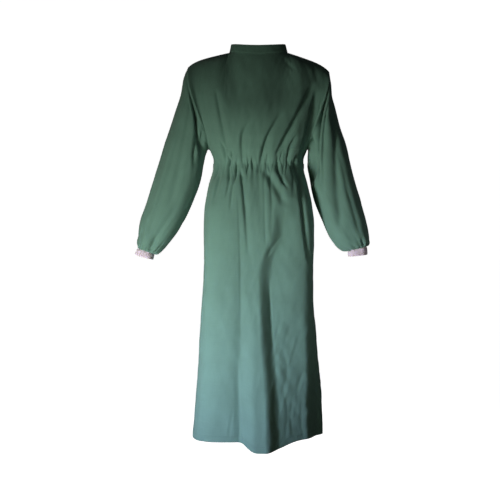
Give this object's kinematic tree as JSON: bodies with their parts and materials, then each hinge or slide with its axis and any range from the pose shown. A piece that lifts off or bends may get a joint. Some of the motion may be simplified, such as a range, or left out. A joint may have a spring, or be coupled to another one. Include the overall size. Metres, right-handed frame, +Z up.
{
  "type": "surgical gown",
  "caption": "Long-sleeved cotton surgical gown that ties at the back, worn shape with no wearer, with a gathered waist, a stand collar and ribbed knit cuffs.",
  "frame": {"origin": "middle of the neckline, at the height of the shoulder seams where they meet the collar", "axes": "+Z up through the neck opening, -Y out of the front, +X towards the wearer's left sleeve"},
  "size_m": [0.7492, 0.415, 1.2856],
  "materials": {
    "gown_cloth": "matte woven cotton",
    "cuff_knit": "matte rib knit"
  },
  "bodies": {
    "root": {"front": "gown_cloth", "back_left": "gown_cloth", "back_right": "gown_cloth", "sleeve_left": "gown_cloth", "sleeve_right": "gown_cloth", "collar": "gown_cloth", "waist_tape_left": "gown_cloth", "waist_tape_right": "gown_cloth", "waist_bow_knot": "gown_cloth", "waist_bow_loop_left": "gown_cloth", "waist_bow_loop_right": "gown_cloth", "waist_bow_tail_left": "gown_cloth", "waist_bow_tail_right": "gown_cloth", "neck_bow_knot": "gown_cloth", "neck_bow_loop_left": "gown_cloth", "neck_bow_loop_right": "gown_cloth", "neck_bow_tail_left": "gown_cloth", "neck_bow_tail_right": "gown_cloth", "cuff_left": "cuff_knit", "cuff_right": "cuff_knit"}
  },
  "joints": []
}
